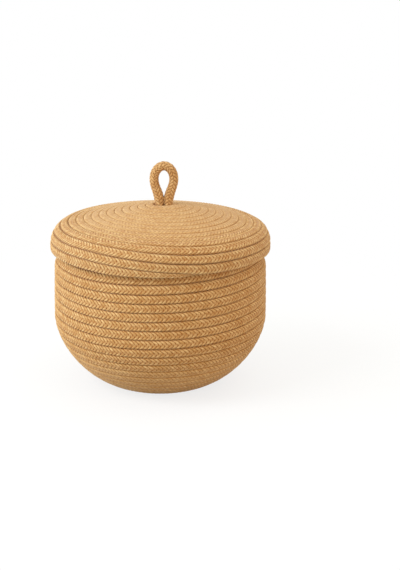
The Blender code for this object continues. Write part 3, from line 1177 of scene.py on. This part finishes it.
@dataclass
class LoopHandle:
    """The handle: a teardrop of round rope whose two legs end in tails under the lid.

    Heights are over the hinge's axis. The legs are held narrower in the eye of the lid,
    and bulge a little over it.
    """

    rope_d: float = 10.4 * MM
    width: float = 32.0 * MM
    height: float = 48.5 * MM
    arch: float = 14.4 * MM
    arch_pull: float = 0.5523
    foot_x: float = 4.6 * MM
    foot_lean: float = 0.2 * MM
    leg_pulls: tuple[float, float] = (0.5, 0.66)
    eye_x: float = 4.0 * MM
    axis_z: float = 201.034 * MM
    eye_z: float = 196.954 * MM
    bend_r: float = 7.8 * MM
    bend_clear: float = 0.24
    tail_run: float = 24 * MM
    tail_fall: float = 0.07
    end_round: float = 0.45
    end_least: float = 0.02
    held_z: float = -2 * MM
    held_reach: float = 5 * MM
    held_narrower: float = 0.1
    held_deeper: float = 0.04
    bulge_z: float = 9 * MM
    bulge_reach: float = 8 * MM
    bulge_wider: float = 0.1
    smoothed: int = 9
    leg_points: int = 60
    arch_points: int = 40
    rope: Rope = Rope(
        Section(5.0 * MM, 5.0 * MM, 2.0, face_points=16, back_points=16, side_points=5),
        Braid(columns=8, pitch=4.0 * MM, lean=0.8, relief=0.6 * MM, seed=9),
        spacing=0.4 * MM,
    )
    bends: tuple[float, float] = (-3 * MM, 7 * MM)

    def line(self) -> np.ndarray:
        """Middle line of the rope in the XZ plane, from one tail to the other.

        Each half is a straight tail, a quarter circle, a leg and half an arch, the last
        two as cubic curves, and the other half is its mirror image.

        Returns:
            One point for each corner of the line.
        """
        side_x = (self.width - self.rope_d) / 2
        top_z = self.height - self.rope_d / 2
        side_z = top_z - self.arch
        low_pull, high_pull = self.leg_pulls
        leg = interpolate_bezier(
            Vector((self.foot_x, 0.0, 0.0)),
            Vector((self.foot_x + self.foot_lean, 0.0, side_z * low_pull)),
            Vector((side_x, 0.0, side_z * high_pull)),
            Vector((side_x, 0.0, side_z)),
            self.leg_points,
        )
        crown = interpolate_bezier(
            Vector((side_x, 0.0, side_z)),
            Vector((side_x, 0.0, side_z + self.arch * self.arch_pull)),
            Vector((side_x * self.arch_pull, 0.0, top_z)),
            Vector((0.0, 0.0, top_z)),
            self.arch_points,
        )
        upper = np.array([tuple(point) for point in leg + crown[1:]])
        upper[:, 2] += self.axis_z
        bend_z = self.eye_z - self.rope_d * self.bend_clear
        turn = np.linspace(0.0, math.pi / 2, self.arch_points)
        bend = np.zeros((len(turn), 3))
        bend[:, 0] = self.foot_x + self.bend_r * (1 - np.cos(turn))
        bend[:, 2] = bend_z - self.bend_r * np.sin(turn)
        end = bend[-1] + np.array((self.tail_run, 0.0, -self.tail_run * self.tail_fall))
        right = np.concatenate(([end], bend[::-1], upper))
        left = right[:-1][::-1] * np.array((-1.0, 1.0, 1.0))
        return np.concatenate((right, left)) + np.array((self.eye_x, 0.0, 0.0))

    def path(self) -> RopePath:
        """Even steps along the line, with its corners smoothed and its ends rounded.

        The legs' widths follow two bell curves over the height: the exponent of minus the
        square of the distance from the bell's middle over its reach.

        Returns:
            The steps.
        """
        line = self.line()
        length = run_along(line)
        count = int(length[-1] / self.rope.spacing)
        run = np.linspace(0.0, length[-1], count)
        centre = np.stack([np.interp(run, length, line[:, axis]) for axis in range(3)], axis=1)
        margin = self.smoothed // 2
        for axis in (0, 2):
            padded = np.pad(centre[:, axis], margin, mode="edge")
            evened = np.convolve(padded, np.ones(self.smoothed) / self.smoothed, mode="valid")
            centre[margin:-margin, axis] = evened[margin:-margin]
        ahead = unit(np.gradient(centre, axis=0))
        out = np.tile((0.0, -1.0, 0.0), (count, 1))
        from_end = np.minimum(run, run[-1] - run) / (self.rope_d * self.end_round)
        ball = 1 - (1 - np.clip(from_end, 0.0, 1.0)) ** 2
        rounded = np.sqrt(np.clip(ball, self.end_least, 1.0))
        above = centre[:, 2] - self.axis_z
        held = np.exp(-(((above - self.held_z) / self.held_reach) ** 2))
        bulged = np.exp(-(((above - self.bulge_z) / self.bulge_reach) ** 2))
        across = rounded * (1 + self.bulge_wider * bulged - self.held_narrower * held)
        through = rounded * (1 + self.held_deeper * held)
        plain = np.zeros(count)
        return RopePath(centre, out, np.cross(ahead, out), run, across, through, plain, plain)

    def build(self, rope_paint: bpy.types.Material) -> None:
        """Make the rope, which rides on no body, as it runs between the lid and the loop.

        Args:
            rope_paint: Material of the rope.
        """
        piece = self.rope.sweep("handle_rope", self.path(), floor=None)
        nodes = ("lid_loop", "loop_tail_left", "loop_tail_right")
        finish_piece(piece, rope_paint, "loop_rope", None, *nodes)
        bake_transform(piece)


@dataclass(frozen=True)
class Lamp:
    """A square soft lamp that faces the basket's middle: metres, watts and a colour."""

    name: str
    place: tuple[float, float, float]
    size: float
    power: float
    colour: str = "ffffff"
    aim: tuple[float, float, float] = (0.0, 0.0, 0.12)

    def hang(self) -> None:
        """Put the lamp into the scene."""
        data = bpy.data.lights.new(self.name, "AREA")
        data.color = linear(self.colour)[:3]
        data.size = self.size
        data.energy = self.power
        lamp = bpy.data.objects.new(self.name, data)
        lamp.location = self.place
        towards = Vector(self.aim) - Vector(self.place)
        lamp.rotation_euler = towards.to_track_quat("-Z", "Y").to_euler()
        bpy.context.scene.collection.objects.link(lamp)


@dataclass
class Studio:
    """A plain pale floor, soft lamps and the camera at the photograph's angle.

    The paper of the floor is matt and pale. What the camera sees of it is mostly plain
    white, so that only the shadow shows, and it fades out into the white backdrop.
    """

    lens: float = 77.2
    sensor: float = 36.0
    framing_shift: float = 0.0697
    place: tuple[float, float, float] = (0.0, -1.3126, 0.4931)
    pitch_down: float = 16.303
    sight: float = 20.0
    floor_half: float = 4.0
    floor_colour: str = "f8f8f6"
    thrown_colour: str = "c8c6c2"
    plain_white: float = 0.78
    fades: tuple[float, float] = (0.2, 0.62)
    fill_colour: str = "fffef6"
    fill_strength: float = 0.84
    clear_rays: tuple[str, ...] = ("Is Camera Ray", "Is Glossy Ray", "Is Transmission Ray")
    lamps: tuple[Lamp, ...] = (
        Lamp("key_lamp", (-1.3, -0.9, 1.5), 0.9, 16.0, "f0f6ff"),
        Lamp("side_lamp", (-1.6, -0.2, 0.45), 0.8, 15.5, "deefff"),
        Lamp("top_lamp", (0.8, 0.2, 1.5), 1.0, 2.5),
        Lamp("fill_lamp", (1.4, -1.0, 0.7), 0.8, 4.4, "ffc898"),
    )

    def camera(self) -> None:
        """Place the camera."""
        data = bpy.data.cameras.new("photo_camera")
        data.lens = self.lens
        data.sensor_width = self.sensor
        data.shift_x = self.framing_shift
        data.clip_end = self.sight
        camera = bpy.data.objects.new("photo_camera", data)
        camera.location = self.place
        camera.rotation_euler = (math.radians(90 - self.pitch_down), 0.0, 0.0)
        bpy.context.scene.collection.objects.link(camera)
        bpy.context.scene.camera = camera

    def seen(self, nodes: Nodes) -> bpy.types.NodeSocket:
        """Share of a ray that shows the white backdrop: the largest of three ray tests.

        Args:
            nodes: The node tree to add to.

        Returns:
            A socket of 1 for camera, glossy and transmission rays, and of 0 for others.
        """
        rays = nodes.add("LightPath", {}, {}).outputs
        share = rays[self.clear_rays[0]]
        for name in self.clear_rays[1:]:
            inputs = {0: share, 1: rays[name]}
            share = nodes.add("Math", {"operation": "MAXIMUM"}, inputs).outputs[0]
        return share

    def paper(self) -> bpy.types.Material:
        """Make matt paper, which the camera sees as nearly plain white.

        Returns:
            The material.
        """
        material = bpy.data.materials.new("studio_paper")
        nodes = Nodes(material)
        add = nodes.add
        seen = self.seen(nodes)
        matt = add("BsdfDiffuse", {}, {"Color": linear(self.thrown_colour)}).outputs[0]
        pale = add("BsdfDiffuse", {}, {"Color": linear(self.floor_colour)}).outputs[0]
        bright = add("Emission", {}, {"Strength": 1.0}).outputs[0]
        clean = add("MixShader", {}, {0: self.plain_white, 1: pale, 2: bright}).outputs[0]
        paper = add("MixShader", {}, {0: seen, 1: matt, 2: clean}).outputs[0]
        place = add("TexCoord", {}, {}).outputs["Object"]
        away = add("VectorMath", {"operation": "LENGTH"}, {"Vector": place}).outputs["Value"]
        inputs = {"Value": away, "From Min": self.fades[0], "From Max": self.fades[1]}
        fade = add("MapRange", {"interpolation_type": "SMOOTHSTEP"}, inputs).outputs[0]
        clear = add("Math", {"operation": "MULTIPLY"}, {0: seen, 1: fade}).outputs[0]
        through = add("BsdfTransparent", {}, {}).outputs[0]
        faded = add("MixShader", {}, {0: clear, 1: paper, 2: through}).outputs[0]
        add("OutputMaterial", {}, {"Surface": faded})
        return material

    def floor(self) -> None:
        """Lay the floor, which keeps the shadow."""
        half = self.floor_half
        mesh = bpy.data.meshes.new("studio_floor")
        signs = ((-1, -1), (1, -1), (1, 1), (-1, 1))
        corners = [(half * x, half * y, 0.0) for x, y in signs]
        mesh.from_pydata(corners, [], [(0, 1, 2, 3)])
        mesh.materials.append(self.paper())
        floor = bpy.data.objects.new("studio_floor", mesh)
        bpy.context.scene.collection.objects.link(floor)

    def world(self) -> None:
        """Fill with soft even light, and show white where the floor has faded out."""
        world = bpy.data.worlds.new("studio_world")
        nodes = Nodes(world)
        inputs = {"Color": linear(self.fill_colour), "Strength": self.fill_strength}
        fill = nodes.add("Background", {}, inputs).outputs[0]
        white = nodes.add("Background", {}, {"Color": linear("ffffff")}).outputs[0]
        inputs = {0: self.seen(nodes), 1: fill, 2: white}
        mixed = nodes.add("MixShader", {}, inputs).outputs[0]
        nodes.add("OutputWorld", {}, {"Surface": mixed})
        bpy.context.scene.world = world

    def build(self) -> None:
        """Set up camera, lamps, world and floor."""
        bpy.context.scene.view_settings.view_transform = "Standard"
        self.camera()
        for lamp in self.lamps:
            lamp.hang()
        self.world()
        self.floor()


def main() -> None:
    """Build the studio, the basket, the lid and the handle."""
    logging.basicConfig(level=logging.INFO, format="%(name)s: %(message)s")
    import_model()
    Studio().build()
    body, lid, handle = BasketBody(), DomedLid(), LoopHandle()
    # Thick bast rope, braided and machine sewn: golden and matt, with painted brown shade in
    # its seams and gaps
    body_rope = RopeFinish(
        "braided_bast_rope_body", body.rope.braid, "e8c286", "c89859", "9a5518", sheen=0.12
    )
    # Thinner bast rope, pressed smoother over the crown: a little paler and calmer
    lid_rope = RopeFinish(
        "braided_bast_rope_lid", lid.rope.braid, "e9c88e", "c99b5e", "9a551a", sheen=0.15
    )
    # Round braided rope with no seam: the strands stand out, with soft brown painted shade in
    # the gaps
    handle_rope = RopeFinish(
        "round_braided_rope_handle",
        handle.rope.braid,
        "eac388",
        "c69254",
        "925d2a",
        sheen=0.2,
        seam=1.0,
    )
    # Waxed cotton thread, twisted: a shade darker than the rope, with a soft gloss
    thread_paint = ThreadFinish("waxed_cotton_thread", "b98d55").make()
    body.build(body_rope.make(), thread_paint)
    lid.build(lid_rope.make(), thread_paint)
    handle.build(handle_rope.make())


if __name__ == "__main__":
    main()
